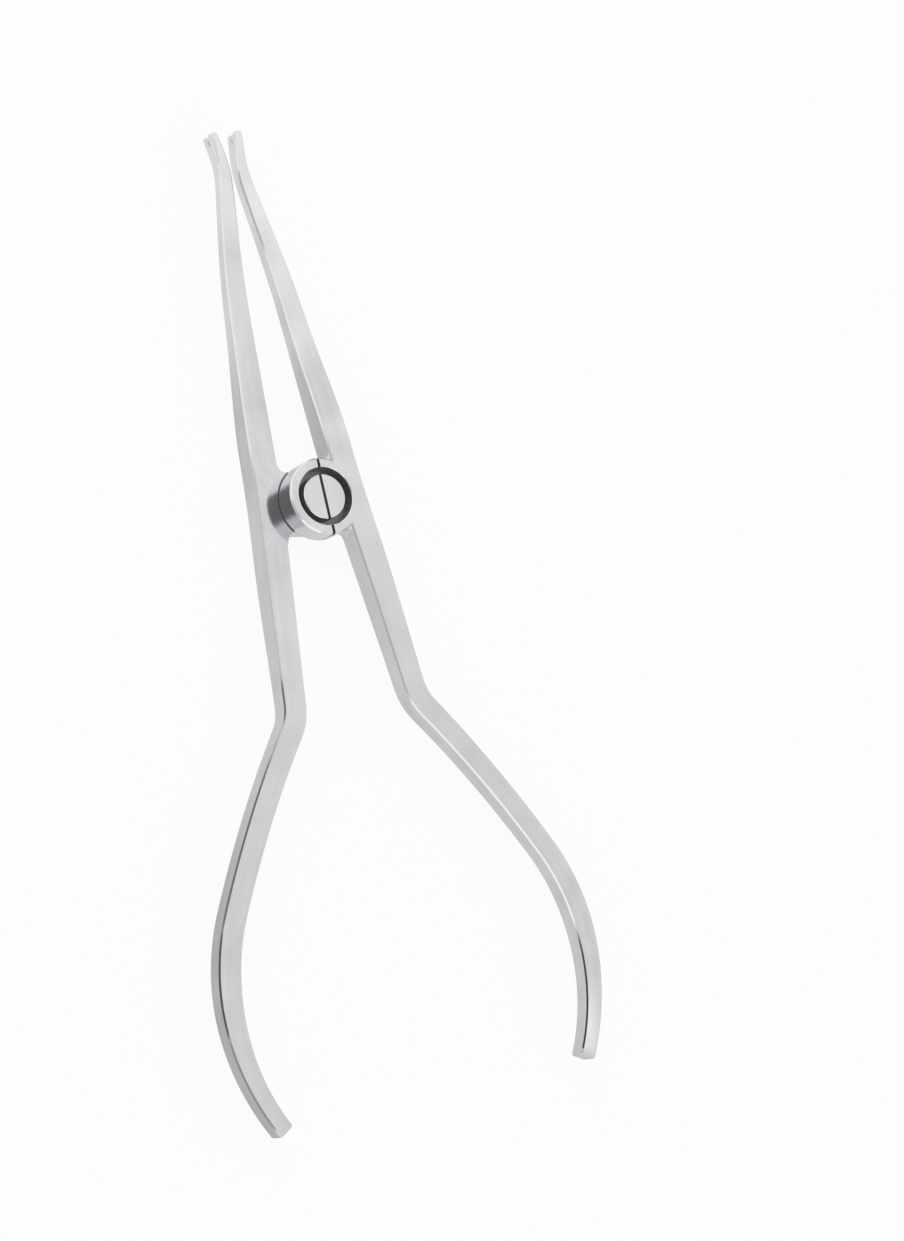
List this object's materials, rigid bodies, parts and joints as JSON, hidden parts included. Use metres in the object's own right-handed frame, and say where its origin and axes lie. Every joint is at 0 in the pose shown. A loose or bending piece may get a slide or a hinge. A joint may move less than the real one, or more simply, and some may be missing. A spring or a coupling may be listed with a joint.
{
  "type": "ligature tying pliers",
  "caption": "Slim steel pliers whose arms do not cross: a slotted drum pivot holds the wire and the handles, when squeezed, spread two forked tips.",
  "frame": {"origin": "on the pivot axis, level with the flat underside of the lower arm's seat", "axes": "+Z along the pivot axis towards the drum face, +Y towards the tips, +X towards the arm that carries the drum"},
  "size_m": [0.0703, 0.1639, 0.009],
  "materials": {
    "drum_arm": "satin brushed stainless steel with polished edges",
    "seat_arm": "satin brushed stainless steel with polished edges",
    "pivot_screw": "fine turned stainless steel"
  },
  "bodies": {
    "seat_half": {"seat_arm": "seat_arm", "pivot_screw": "pivot_screw"},
    "drum_half": {"drum_arm": "drum_arm"}
  },
  "joints": [
    {"name": "pivot", "type": "hinge", "parent": "seat_half", "child": "drum_half", "pos_m": [0, 0, 0.0045], "axis": [0, 0, 1], "range_deg": [-26, 1.2]}
  ]
}
